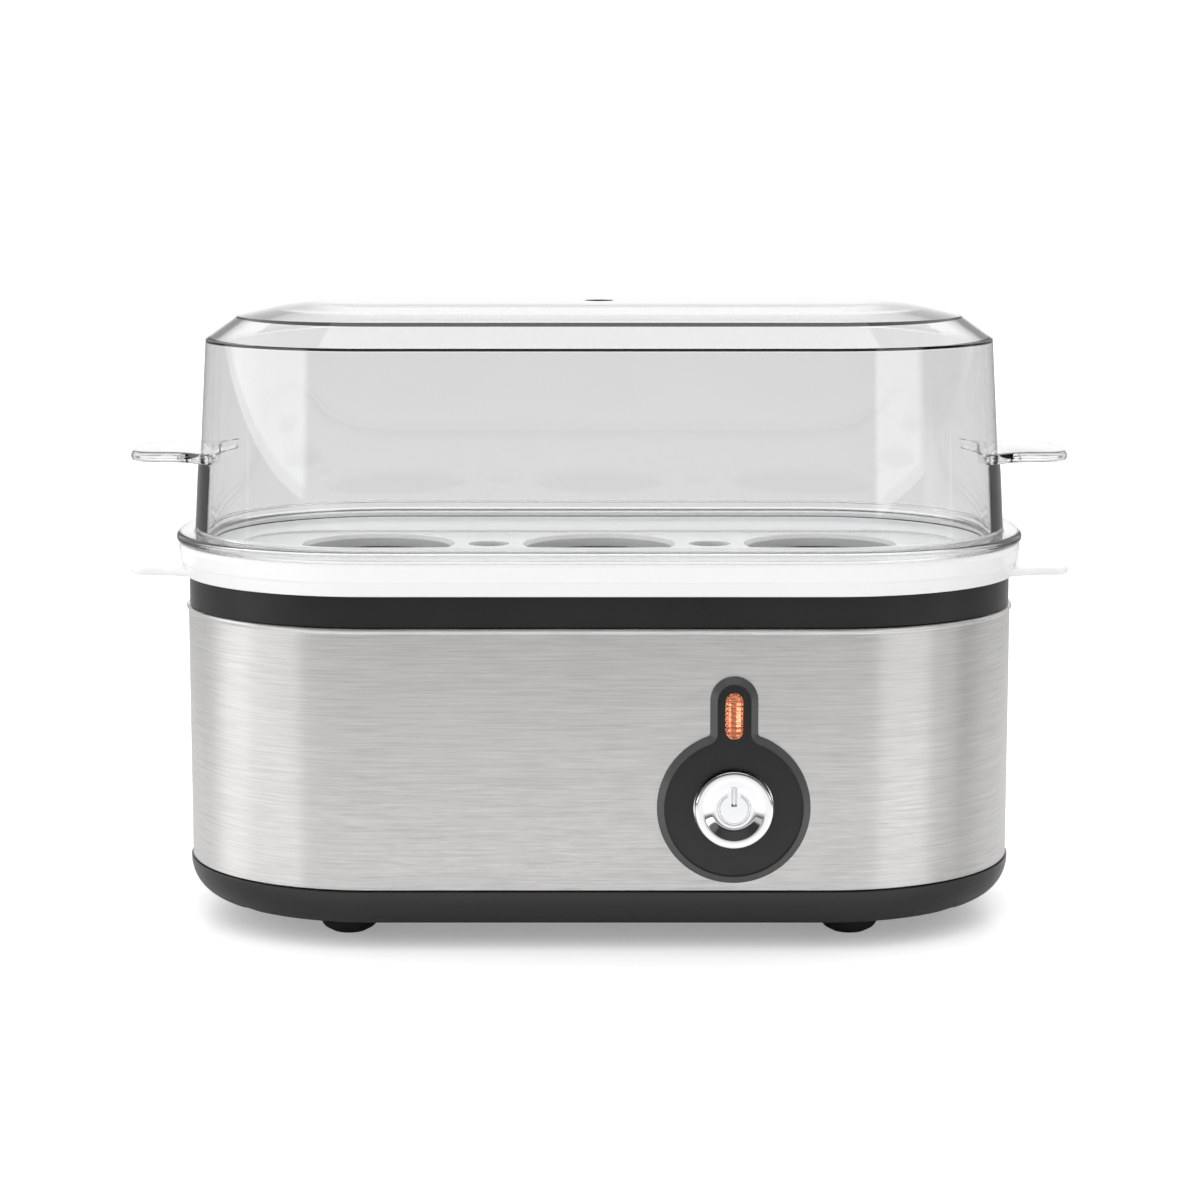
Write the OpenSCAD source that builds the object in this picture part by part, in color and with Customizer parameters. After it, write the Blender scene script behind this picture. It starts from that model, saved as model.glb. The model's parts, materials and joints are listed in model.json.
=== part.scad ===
// Three-egg electric steamer: housing, water pan, heater, control, egg tray and clear lid.
// Millimetres, +Z up, front face towards -Y, origin at the centre of the footprint on the table.
// Most shells share one plan shape: a small core rectangle grown outwards by a radius,
// so a profile of [radius, height] points swept around the core gives the whole shell.

/* [Housing] */
// Width of the steel sleeve
body_w = 184; // [182:1:196]
// Depth of the steel sleeve
body_d = 94; // [94:1:102]
// Radius of the four upright corners of the steel sleeve
corner_r = 43; // [43:0.5:44]
// Height of the steel sleeve
sleeve_h = 56.9; // [56:0.1:60]
// Thickness of the sleeve's sheet steel
sleeve_t = 0.6; // [0.5:0.1:0.7]
// Height of the dark bottom shell below the sleeve
base_h = 8.3; // [7.5:0.1:9]
// Height of the feet below the bottom shell
foot_h = 4.7; // [3.5:0.1:6]
// Distance of the feet from the centre, left and right
foot_x = 55; // [50:1:58]
// Distance of the feet from the centre, front and rear
foot_y = 28; // [24:1:29]
// Radius of a foot
foot_r = 6.9; // [6:0.1:7]

/* [Egg tray] */
// Distance between neighbouring egg seats
egg_pitch = 49.8; // [48:0.2:52]
// Radius of an egg seat hole
seat_r = 16.5; // [15:0.5:17.5]
// Radius of the two steam holes
steam_r = 4.4; // [3.5:0.1:4.6]
// Reach of the side tabs of tray and lid from the centre
tab_reach = 104; // [103:0.5:110]
// Depth of the tray's side tabs
tray_tab_d = 32; // [26:1:36]

/* [Lid] */
// Height of the lid above its flange
lid_h = 50.5; // [48:0.5:60]
// Wall thickness of the lid
lid_t = 1.8; // [1.5:0.1:2]
// Depth of the lid's side tabs
lid_tab_d = 27; // [24:1:30]
// Radius of the steam vent in the top of the lid
vent_r = 3.2; // [3:0.1:4]

/* [Control] */
// Sideways position of the push button
ctl_x = 28.7; // [28:0.1:32]
// Radius of the round part of the bezel
bezel_r = 16.4; // [16:0.1:17]
// Radius of the push button
button_r = 8.35; // [8:0.05:8.4]
// Travel of the push button
button_travel = 2.5; // [1.5:0.1:2.5]

/* [Cord inlet] */
// Sideways position of the cord gland in the rear wall
gland_x = -30; // [-32:1:-28]
// Radius of the gland's bore
gland_bore_r = 3.4; // [3:0.1:3.8]

/* [Hidden] */
$fn = 64;

R = corner_r;
cw = body_w - 2 * R;          // core rectangle, width
cd = body_d - 2 * R;          // core rectangle, depth
yf = body_d / 2;              // front and rear face of the sleeve
zb = foot_h;                  // underside of the bottom shell
z0 = foot_h + base_h;         // bottom edge of the sleeve
z1 = z0 + sleeve_h;           // top edge of the sleeve
up = z1 - 69.9;               // lifts everything that hangs from the collar
dn = z0 - 13;                 // lifts everything that stands on the bottom shell
zp = 61 + up;                 // underside of the pan floor
cz = 31.4 + dn;               // height of the push button's axis
lens_z0 = 46.4 + dn;          // lower end of the indicator lens
lens_z1 = 56.3 + dn;          // upper end of the indicator lens
post_o = (R - 6.5) * 0.7071;  // screw posts, offset from the core's corners
post_x = cw / 2 + post_o;
post_y = cd / 2 + post_o;
pin_x = 34;                   // weld studs for the heater stack
zlid = 84.1 + up;             // underside of the lid flange
ztop = zlid + 2.2 + lid_h;    // top of the lid

// Plan sweep: profile p of [radius, height] points around a core of w by d; t0 to t1 fills the core.
module rr(p, w = cw, d = cd, t0 = 0, t1 = 0) {
    for (sx = [0, 1], sy = [0, 1])
        mirror([sx, 0, 0]) mirror([0, sy, 0])
            translate([w / 2, d / 2, 0]) rotate_extrude(angle = 90) polygon(p);
    for (s = [0, 1])
        mirror([s, 0, 0]) translate([w / 2, d / 2, 0]) rotate([90, 0, 0]) linear_extrude(d) polygon(p);
    for (s = [0, 1])
        mirror([0, s, 0]) translate([-w / 2, d / 2, 0]) rotate([90, 0, 90]) linear_extrude(w) polygon(p);
    if (t1 > t0) translate([-w / 2, -d / 2, t0]) cube([w, d, t1 - t0]);
}
// Flat plate with rounded corners from z to z + h
module rplate(w, d, r, z, h) {
    rr([[0, z], [r, z], [r, z + h], [0, z + h]], w - 2 * r, d - 2 * r, z, z + h);
}
// Points of an arc or quarter ellipse about [cx, cy]
function arc(cx, cy, rx, ry, a0, a1, n) =
    [for (i = [0:n]) let (a = a0 + (a1 - a0) * i / n) [cx + rx * cos(a), cy + ry * sin(a)]];
// Cuts the corners of a route once, keeping its two ends
function soften(p) = concat([p[0]], [for (i = [0:len(p) - 2]) each
    [if (i > 0) p[i] * 0.75 + p[i + 1] * 0.25, if (i < len(p) - 2) p[i] * 0.25 + p[i + 1] * 0.75]], [p[len(p) - 1]]);
function unit(v) = v / norm(v);
// Direction of a route at point i
function heading(p, i) = unit((i < len(p) - 1 ? unit(p[i + 1] - p[i]) : [0, 0, 0]) + (i > 0 ? unit(p[i] - p[i - 1]) : [0, 0, 0]));
// Insulated lead of radius r swept along a list of points
module wire(route, r) {
    p = soften(soften(route));
    n = len(p);
    sd = 8;
    pts = [for (i = [0:n - 1], j = [0:sd - 1]) let (t = heading(p, i), u = unit(cross(t, [0.57, 0.35, -0.74])), v = cross(t, u))
        p[i] + r * (u * cos(360 * j / sd) + v * sin(360 * j / sd))];
    side = [for (i = [0:n - 2], j = [0:sd - 1]) let (k = (j + 1) % sd, a = i * sd, b = a + sd) each [[a + j, b + j, b + k], [a + j, b + k, a + k]]];
    polyhedron(pts, concat([[for (j = [0:sd - 1]) j]], side, [[for (j = [sd - 1:-1:0]) (n - 1) * sd + j]]));
}
// Cylinder along +Y starting at y
module ycyl(x, y, z, r, l) { translate([x, y, z]) rotate([-90, 0, 0]) cylinder(h = l, r = r); }
// Upright capsule outline of half width r between z a and z b, extruded along +Y from y over l
module ycapsule(x, y, a, b, r, l) {
    ycyl(x, y, a + r, r, l);
    ycyl(x, y, b - r, r, l);
    translate([x - r, y, a + r]) cube([2 * r, l, b - a - 2 * r]);
}
// Small pan-head screw, head down or up, with a cross slot; z is the head's seating face
module screw(x, y, z, dir, head_r, head_h, shank_r, shank_l) {
    translate([x, y, z]) rotate([dir > 0 ? 0 : 180, 0, 0]) difference() {
        union() {
            cylinder(h = head_h, r = head_r);
            translate([0, 0, -shank_l]) cylinder(h = shank_l + 0.1, r = shank_r);
        }
        for (a = [0, 90]) rotate([0, 0, a])
            translate([-head_r * 0.62, -0.3, head_h * 0.45]) cube([head_r * 1.24, 0.6, head_h]);
    }
}
// Hexagon nut standing on z
module nut(x, y, z, bore) {
    translate([x, y, z]) difference() {
        cylinder(h = 2.4, r = 3.1, $fn = 6);
        translate([0, 0, -1]) cylinder(h = 5, r = bore);
    }
}
// Places children at the four screw posts
module at_posts() { for (sx = [-1, 1], sy = [-1, 1]) translate([sx * post_x, sy * post_y, 0]) children(); }
// Places children at the four pan screws
module at_pan_screws() { for (sx = [-1, 1], sy = [-1, 1]) translate([sx * 24, sy * (cd / 2 + R - 6.5), 0]) children(); }

// ---- bottom shell, feet and screws ----
module base_shell() color("#2b2b2d") {
    outer = arc(R - 6.8, z0, 7.2, base_h, -90, 0, 10);
    inner = arc(R - 8.8, z0, 6.9, base_h - 2.2, 0, -90, 6);
    wall = [[0, zb]];
    difference() {
        union() {
            rr(concat(wall, outer, [[R - 0.8, z0], [R - 0.8, z0 + 7], [R - 2.8, z0 + 7], [R - 2.8, z0]],
                [for (q = inner) [min(q[0], R - 2.8), q[1]]], [[0, zb + 2.2]]), cw, cd, zb, zb + 2.2);
            intersection() {
                at_posts() translate([0, 0, zb]) cylinder(h = 14 + dn - zb, r = 4.6);
                rr(concat(wall, outer, [[R + 0.4, z0 + 5], [0, z0 + 5]]), cw, cd, zb, z0 + 5);
            }
        }
        at_posts() translate([0, 0, -1]) cylinder(h = 11.5 + dn, r = 3.4);
        at_posts() cylinder(h = 30, r = 1.7);
        for (sx = [-1, 1], sy = [-1, 1]) translate([sx * foot_x, sy * foot_y, zb - 1]) cylinder(h = 5, r = 3);
        // clearance around the bezel's boss
        ycyl(ctl_x, -yf - 3, cz, 14.4, 8);
        // recess for the plate
        translate([-24.2, -13.2, zb - 1]) cube([48.4, 26.4, 1.5]);
        // drain slots
        for (s = [-1, 1], i = [-2:2]) translate([s * 37 + i * 4.4 - 1, -8, zb - 1]) cube([2, 16, 5]);
        // seats for the terminal block's screws
        for (x = [-33.5, -24.5]) translate([x, 20, zb + 1.2]) cylinder(h = 5, r = 1.25);
    }
}
module foot(x, y) color("#1c1c1e") translate([x, y, 0])
    rotate_extrude() polygon([[0, 0], [foot_r * 0.5, 0], [foot_r * 0.66, 0.35], [foot_r * 0.8, 1.1],
        [foot_r * 0.92, foot_h * 0.48], [foot_r, foot_h * 0.8], [foot_r, foot_h - 0.05], [2.95, foot_h - 0.05],
        [2.95, foot_h + 2.25], [4, foot_h + 2.25], [3.2, foot_h + 4], [0, foot_h + 4]]);
module foot_front_left() foot(-foot_x, -foot_y);
module foot_front_right() foot(foot_x, -foot_y);
module foot_rear_left() foot(-foot_x, foot_y);
module foot_rear_right() foot(foot_x, foot_y);
module base_screws() color("silver")
    for (sx = [-1, 1], sy = [-1, 1]) screw(sx * post_x, sy * post_y, 10.5 + dn, -1, 3, 2, 1.3, 15);
module rating_plate() color("#b9bbbe") rplate(48, 26, 2, zb + 0.1, 0.4);

// ---- sleeve and collar ----
// The sleeve is one bent sheet; its four nodes are its two ends, its front and its rear
function sleeve_section() = [[R - sleeve_t, z0 + 0.2], [R, z0 + 0.2], [R, z1 - 0.9], [R + 0.4, z1 - 0.6], [R + 0.4, z1 - 0.2],
    [R + 0.1, z1], [R - 1.3, z1], [R - 1.3, z1 - 0.6], [R - sleeve_t, z1 - 0.6]];
module sleeve_end(s) mirror([s, 0, 0]) {
    for (t = [0, 1]) mirror([0, t, 0]) translate([cw / 2, cd / 2, 0]) rotate_extrude(angle = 90) polygon(sleeve_section());
    translate([cw / 2, cd / 2, 0]) rotate([90, 0, 0]) linear_extrude(cd) polygon(sleeve_section());
}
module sleeve_face(s) mirror([0, s, 0]) translate([-cw / 2, cd / 2, 0]) rotate([90, 0, 90]) linear_extrude(cw) polygon(sleeve_section());
module sleeve_right() color("#c4c6c8") sleeve_end(0);
module sleeve_left() color("#c4c6c8") sleeve_end(1);
module sleeve_front() color("#c4c6c8") difference() {
    sleeve_face(1);
    ycyl(ctl_x, -yf - 2, cz, 12.6, 6);
    ycapsule(ctl_x, -yf - 2, lens_z0 - 1.1, lens_z1 + 1.1, 2.9, 6);
}
module sleeve_rear() color("#c4c6c8") difference() {
    sleeve_face(0);
    ycyl(gland_x, yf - 4, 27 + dn, 5.2, 8);
}
module collar() color("#313133") difference() {
    union() {
        rr([[R - 1.6, z1 - 7.9], [R - 1.6, z1 + 0.2], [R - 0.3, z1 + 0.2], [R - 0.3, z1 + 8.2], [R - 0.6, z1 + 8.6],
            [R - 2.3, z1 + 8.6], [R - 2.3, z1 + 5.1], [R - 10.4, z1 + 5.1], [R - 10.4, z1 + 3.1],
            [R - 3.6, z1 + 3.1], [R - 3.6, z1 - 7.9]]);
        at_posts() translate([0, 0, 14 + dn]) cylinder(h = z1 + 4 - 14 - dn, r = 3.3);
        at_pan_screws() translate([0, 0, z1 - 2.5]) cylinder(h = 6.6, r = 3);
    }
    at_posts() cylinder(h = 32 + dn, r = 1.35);
    at_pan_screws() translate([0, 0, z1 - 1.7]) cylinder(h = 12, r = 1.3);
}

// ---- water pan and heater ----
module pan_seal() color("#c8cbd0") difference() {
    rr([[R - 9.5, z1 + 5.1], [R - 3.5, z1 + 5.1], [R - 3.5, z1 + 5.7], [R - 9.5, z1 + 5.7]]);
    at_pan_screws() cylinder(h = z1 + 10, r = 1.6);
}
module heating_pan() color("#8d9094") difference() {
        rr([[0, zp], [R - 13.4, zp], [R - 11.7, zp + 0.6], [R - 11.2, zp + 2], [R - 11.2, zp + 14.6],
            [R - 2.8, zp + 14.6], [R - 2.8, zp + 15.4], [R - 12, zp + 15.4], [R - 12, zp + 2.2],
            [R - 12.4, zp + 1.2], [R - 13.6, zp + 0.8], [0, zp + 0.8]], cw, cd, zp, zp + 0.8);
        at_pan_screws() cylinder(h = zp + 30, r = 1.6);
}
module pan_studs() color("#b4b6b8") {
    for (x = [-22, pin_x]) translate([x, 0, zp - 15]) cylinder(h = 15, r = 1.5);
    for (y = [-14, 14]) translate([-66, y, zp - 9]) cylinder(h = 9, r = 1.5);
}
module pan_screws() color("silver")
    for (sx = [-1, 1], sy = [-1, 1]) screw(sx * 24, sy * (cd / 2 + R - 6.5), zp + 15.4, 1, 2.6, 1.5, 1.25, 8);
module heater_plate() color("#a9acb0") difference() {
    rplate(96, 44, 21.5, zp - 4, 4);
    heater_path(3.25);
    for (x = [-22, pin_x]) translate([x, 0, 0]) cylinder(h = zp + 5, r = 1.8);
    translate([6, 6.2, zp - 6]) cylinder(h = 5.5, r = 1.25);
}
// The sheathed element's bent run at radius r
module heater_path(r) {
    for (s = [-1, 1]) translate([-30, s * 13, zp - 5.1]) rotate([0, 90, 0]) cylinder(h = 82, r = r);
    translate([-30, 0, zp - 5.1]) rotate([0, 0, 90]) rotate_extrude(angle = 180) translate([13, 0]) circle(r = r);
}
module heating_element() color("#6f675f") {
    heater_path(3.2);
    for (s = [-1, 1]) translate([51, s * 13, zp - 5.1]) rotate([0, 90, 0]) cylinder(h = 11, r = 1.1);
}
module element_insulators() color("#efe9dc")
    for (s = [-1, 1]) translate([52, s * 13, zp - 5.1]) rotate([0, 90, 0]) difference() {
        cylinder(h = 4.5, r = 3);
        translate([0, 0, -1]) cylinder(h = 7, r = 1.15);
    }
module heater_nuts() color("#b0b0b0") for (x = [-22, pin_x]) nut(x, 0, zp - 6.4, 1.55);
module shield_spacers() color("#9a9a9a") for (x = [-22, pin_x]) translate([x, 0, zp - 11.4]) difference() {
    cylinder(h = 5, r = 2.8);
    translate([0, 0, -1]) cylinder(h = 8, r = 1.6);
}
module heat_shield() color("#b7b9bb") difference() {
    union() {
        rplate(101, 52, 6, zp - 12, 0.6);
        rr([[5.4, zp - 14.5], [6, zp - 14.5], [6, zp - 11.4], [5.4, zp - 11.4]], 89, 40);
    }
    for (x = [-22, pin_x]) translate([x, 0, zp - 16]) cylinder(h = 6, r = 1.7);
}
module shield_nuts() color("#b0b0b0") for (x = [-22, pin_x]) nut(x, 0, zp - 14.4, 1.55);

// ---- thermostat and fuse ----
module thermostat_cap() color("#c9cbce") translate([-66, 0, zp - 2.5]) {
    translate([0, 0, 0.8]) cylinder(h = 1.7, r = 8.2);
    cylinder(h = 0.8, r = 9);
}
module thermostat_body() color("#2a2420") translate([-66, 0, zp - 11.5]) cylinder(h = 9, r = 7.8);
module thermostat_terminals() for (x = [-70, -62]) translate([x - 0.4, -2.4, zp - 19]) cube([0.8, 4.8, 7.5]);
module thermostat_bracket() color("#c4a75a") {
    difference() {
        union() {
            translate([-72, -18, zp - 3.3]) cube([12, 36, 0.8]);
            translate([-66, 0, zp - 3.3]) cylinder(h = 0.8, r = 10.5);
        }
        translate([-66, 0, zp - 6]) cylinder(h = 6, r = 8);
        for (y = [-14, 14]) translate([-66, y, zp - 6]) cylinder(h = 6, r = 1.6);
    }
    thermostat_terminals();
}
module thermostat_nuts() color("#b0b0b0") {
    nut(-66, 14, zp - 5.7, 1.55);
    nut(-66, -14, zp - 6.3, 1.55);
}
module thermal_fuse() color("#d8d4c8") {
    translate([0, 0, zp - 7.6]) rotate([0, 90, 0]) cylinder(h = 12, r = 1.9);
    translate([-5.5, 0, zp - 7.6]) rotate([0, 90, 0]) cylinder(h = 23, r = 0.5);
}
module fuse_sleeve() color("#e8e0c8") translate([-7, 0, zp - 7.6]) rotate([0, 90, 0]) difference() {
    cylinder(h = 26, r = 2.8);
    translate([0, 0, -1]) cylinder(h = 28, r = 2.2);
}
module fuse_clip() color("#c9cbce") difference() {
    union() {
        translate([3.5, 0, zp - 7.6]) rotate([0, 90, 0]) cylinder(h = 5, r = 3.4);
        translate([3.5, 0, zp - 4.8]) cube([5, 8.6, 0.8]);
    }
    translate([3, 0, zp - 7.6]) rotate([0, 90, 0]) cylinder(h = 6, r = 2.85);
    translate([6, 6.2, zp - 8]) cylinder(h = 6, r = 1.3);
}
module fuse_screw() color("silver") screw(6, 6.2, zp - 4.8, -1, 1.9, 1.3, 1.2, 3.8);

// ---- control: bezel, lens, lamp, button and switch ----
module bezel_outline(y, l, g) {
    ycyl(ctl_x, y, cz, bezel_r - g, l);
    translate([ctl_x - 5.1 + g, y, cz]) cube([10.2 - 2 * g, l, 54.65 + dn - cz]);
    ycyl(ctl_x, y, 54.65 + dn, 5.1 - g, l);
}
module control_bezel() color("#242426") difference() {
    union() {
        bezel_outline(-yf - 0.9, 0.9, 0);
        bezel_outline(-yf - 1.5, 0.7, 0.6);
        ycyl(ctl_x, -yf - 0.5, cz, 12.4, 9.5);
        // arms that clip the switch
        for (s = [-1, 1]) translate([ctl_x + s * 11.1 - 0.8, -yf + 8.5, cz - 4]) cube([1.6, 17.6, 8]);
        for (s = [-1, 1]) translate([ctl_x + s * 10.6 - 1.2, -yf + 24.9, cz - 4]) cube([2.4, 1.2, 8]);
    }
    ycyl(ctl_x, -yf - 3, cz, button_r + 0.35, 8);
    ycyl(ctl_x, -yf + 2, cz, 10, 7.1);
    ycapsule(ctl_x, -yf - 3, lens_z0 - 0.1, lens_z1 + 0.1, 1.9, 6);
}
module bezel_ring() color("#9a9da1") {
    translate([ctl_x, -yf + 0.65, cz]) rotate([-90, 0, 0]) difference() {
        cylinder(h = 0.8, r = 13.8);
        translate([0, 0, -1]) cylinder(h = 3, r = 12.45);
    }
}
module indicator_lens() color([1, 0.55, 0.2, 0.8]) {
    ycapsule(ctl_x, -yf - 1.9, lens_z0, lens_z1, 1.8, 2);
    ycapsule(ctl_x, -yf + 0.02, lens_z0 - 0.9, lens_z1 + 0.9, 2.7, 1.18);
}
module neon_lamp() color([1, 0.45, 0.1]) translate([ctl_x, -yf + 4.4, lens_z0 + 0.4]) {
    cylinder(h = 7.2, r = 2.1);
    translate([0, 0, 7.2]) cylinder(h = 1.6, r1 = 2.1, r2 = 0.9);
}
module lamp_holder() color("#d9d9d6") difference() {
    translate([ctl_x - 3.6, -yf + 1.3, lens_z0 - 1]) cube([7.2, 8.7, lens_z1 - lens_z0 + 2.3]);
    translate([ctl_x - 2.5, -yf, lens_z0 - 0.1]) cube([5, 7.5, lens_z1 - lens_z0 + 0.6]);
    for (s = [-1, 1]) ycyl(ctl_x + s * 1.2, -yf + 7, lens_z0 + 1.1, 0.65, 5);
}
module lamp_resistor() color("#c9a06a") ycyl(ctl_x + 1.2, -yf + 11, lens_z0 + 1.1, 1.2, 6);
// Push button: dished chrome cap with a skirt, a rear flange and a stem
module power_button() color("#dfe1e4") translate([ctl_x, -yf + 3.6, cz]) rotate([90, 0, 0])
    difference() {
        rotate_extrude() polygon(concat(
            [[0, -4.9], [2.4, -4.9], [2.4, 4.5], [6.8, 4.5], [6.8, 0], [9.6, 0], [9.6, 1.5], [button_r, 1.5],
             [button_r, 6.3], [button_r - 0.2, 6.6], [button_r - 0.6, 6.7]],
            [for (i = [1:6]) let (r = (button_r - 0.6) * (1 - i / 6)) [r, 5.9 + 0.8 * pow(r / (button_r - 0.6), 2)]]));
        // engraved ring and bar of the standby symbol
        difference() {
            translate([0, 0, 5.75]) cylinder(h = 2, r = 3.4);
            translate([0, 0, 5]) cylinder(h = 4, r = 2.9);
            translate([-1.3, 0, 5]) cube([2.6, 5, 4]);
        }
        translate([-0.25, 1.4, 5.75]) cube([0.5, 2.8, 2]);
    }
// Return spring of n turns, mean radius m, wire radius w, from y0 over a length l
module helix(x, y0, z, m, w, n, l) {
    st = 16; sd = 6; rings = n * st;
    pts = [for (i = [0:rings], j = [0:sd - 1]) let (a = 360 * i / st, b = 360 * j / sd, q = m + w * cos(b))
        [x + q * cos(a), y0 + l * i / rings + w * sin(b), z + q * sin(a)]];
    side = [for (i = [0:rings - 1], j = [0:sd - 1]) let (k = (j + 1) % sd, a = i * sd, b = a + sd)
        [a + j, a + k, b + k, b + j]];
    polyhedron(pts, concat([[for (j = [sd - 1:-1:0]) j]], side, [[for (j = [0:sd - 1]) rings * sd + j]]));
}
module button_spring() color("#a8abae") helix(ctl_x, -yf - 0.45, cz, 4.4, 0.35, 6, 9.1);
module switch_plunger() color("#e8e8e8") ycyl(ctl_x, -yf + 8.5, cz, 2, 8.5);
module switch_body() color("#1e1e20") difference() {
    translate([ctl_x - 10, -yf + 9.1, cz - 8]) cube([20, 15.6, 16]);
    ycyl(ctl_x, -yf + 8, cz, 2.3, 13);
    ycyl(ctl_x, -yf + 8, cz, 2.9, 4.4);
}
module switch_terminals() color("#c9a24a")
    for (x = [-5, 5], z = [-4, 4]) translate([ctl_x + x - 2.4, -yf + 24.7, cz + z - 0.4]) cube([4.8, 8.3, 0.8]);
module spade_sleeves() color([0.85, 0.85, 0.83]) {
    for (x = [-5, 5], z = [-4, 4]) translate([ctl_x + x, -yf + 25.5, cz + z]) difference() {
        translate([-3.3, 0, -1.8]) cube([6.6, 12, 3.6]);
        translate([-2.5, -1, -0.5]) cube([5, 8.7, 1]);
        translate([0, 7, 0]) rotate([-90, 0, 0]) cylinder(h = 6, r = 1.2);
    }
    for (x = [-70, -62]) translate([x, 0, zp - 25]) difference() {
        translate([-1.8, -3.3, 0]) cube([3.6, 6.6, 12.5]);
        translate([-0.5, -2.5, 5.9]) cube([1, 5, 8]);
        translate([0, 0, -1]) cylinder(h = 7.3, r = 1.2);
    }
}

// ---- terminal block ----
module terminal_block() color("#e4e1d8") difference() {
    translate([-44, 14, zb + 2.2]) cube([30, 12, 12]);
    for (x = [-38, -29, -20]) {
        ycyl(x, 13, zb + 8.2, 2.5, 14);
        translate([x, 20, zb + 8.2]) cylinder(h = 8, r = 1.7);
    }
    for (x = [-33.5, -24.5]) translate([x, 20, zb]) cylinder(h = 18, r = 1.35);
}
module terminal_inserts() color("#c9a24a") for (x = [-38, -29, -20]) difference() {
    ycyl(x, 14.2, zb + 8.2, 2.42, 11.6);
    ycyl(x, 13, zb + 8.2, 1.5, 14);
    translate([x, 20, zb + 8.2]) cylinder(h = 8, r = 1.55);
}
module terminal_screws() color("silver") for (x = [-38, -29, -20]) difference() {
    translate([x, 20, zb + 9.8]) cylinder(h = 3.8, r = 1.5);
    translate([x - 1.1, 19.8, zb + 13]) cube([2.2, 0.4, 1]);
}
module block_screws() color("silver") for (x = [-33.5, -24.5]) screw(x, 20, zb + 14.2, 1, 2.1, 1.2, 1.2, 12.6);

// ---- wiring ----
tz = zb + 8.2;                // height of the terminal bores
sy = -yf + 35;                // where leads enter the switch's sleeves
ex = 62.1;                    // ends of the element's pins
ez = zp - 5.1;
module live_supply_lead() color("#6b4423")
    wire([[-38, 18.5, tz], [-38, 8, tz], [-34, -2, 9.5 + dn], [20, -4, 9.5 + dn], [ctl_x - 5, -5, 15 + dn],
        [ctl_x - 5, -6, cz - 4], [ctl_x - 5, sy, cz - 4]], 1.1);
module neutral_supply_lead() color("#2b5fae")
    wire([[-20, 18.5, tz], [-20, 9, tz], [-12, 4, tz], [29, 3, tz], [ctl_x + 5, -2, 18 + dn],
        [ctl_x + 5, -6, cz - 4], [ctl_x + 5, sy, cz - 4]], 1.1);
module live_switched_lead() color("#6b4423")
    wire([[ctl_x - 5, sy, cz + 4], [ctl_x - 5, -6, cz + 4], [16, -1, 34 + dn], [-50, -1, 30 + dn],
        [-60, 0, 27.5 + dn], [-62, 0, 31 + dn], [-62, 0, zp - 20]], 1.1);
module neutral_switched_lead() color("#2b5fae")
    wire([[ctl_x + 5, sy, cz + 4], [ctl_x + 5, -6, cz + 4], [41, 0, 38 + dn], [66, 6, 46 + up], [69.5, 12, 51 + up],
        [69, 13, ez], [ex, 13, ez]], 1.1);
module fuse_leads() color("#c8442e") {
    wire([[-6, 0, zp - 7.6], [-10, 0, zp - 7.8], [-14.5, 5.3, zp - 9.8], [-53, 5.3, zp - 9.8], [-56.5, 7, zp - 14],
        [-57, 9, zp - 28], [-65, 7, zp - 32], [-70, 0, zp - 30], [-70, 0, zp - 20]], 0.95);
    wire([[18, 0, zp - 7.6], [22, 0, zp - 8], [27, -5.3, zp - 9.8], [52, -5.3, zp - 9.8], [64, -6, zp - 9.6],
        [69.5, -9, zp - 7.5], [69, -13, ez], [ex, -13, ez]], 0.95);
}
module lamp_leads() color("#d0d0cc") {
    lz = lens_z0 + 1.1;
    wire([[ctl_x - 1.2, -yf + 6.3, lz], [ctl_x - 1.2, -34, lz], [ctl_x - 1.5, -31, 42.6 + dn], [ctl_x - 4.2, -17, 42 + dn], [ctl_x - 4.2, -15.5, cz + 6]], 0.5);
    wire([[ctl_x + 1.2, -yf + 6.3, lz], [ctl_x + 1.2, -yf + 11, lz]], 0.5);
    wire([[ctl_x + 1.2, -yf + 17, lz], [ctl_x + 1.2, -28, lz - 0.2], [ctl_x + 1.5, -27.6, 43 + dn], [ctl_x + 4.2, -17, 42 + dn], [ctl_x + 4.2, -15.5, cz + 6]], 0.5);
}
module earth_lead() color("#5e9c3c")
    wire([[-29, 18.5, tz], [-29, 9, tz], [-37, 1, 17 + dn], [-54.5, -12, 30 + dn], [-54.5, -14, zp - 8],
        [-55.5, -14, zp - 3.6], [-57, -14, zp - 3.6]], 1.1);
module earth_terminal() color("#c9a24a") difference() {
    union() {
        translate([-66, -14, zp - 3.9]) cylinder(h = 0.6, r = 3.4);
        translate([-65, -15.6, zp - 3.9]) cube([8, 3.2, 0.6]);
    }
    translate([-66, -14, zp - 6]) cylinder(h = 5, r = 1.6);
}

// ---- cord inlet ----
module cord_gland() color("#1c1c1e") translate([gland_x, yf, 27 + dn]) rotate([-90, 0, 0]) difference() {
    rotate_extrude() polygon([[0, -4], [6.2, -4], [6.2, -sleeve_t - 0.05], [5, -sleeve_t - 0.05], [5, 0.05], [7, 0.05],
        [7, 1.4], [5.4, 3.1], [0, 3.1]]);
    translate([0, 0, -6]) cylinder(h = 12, r = gland_bore_r);
}

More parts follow.
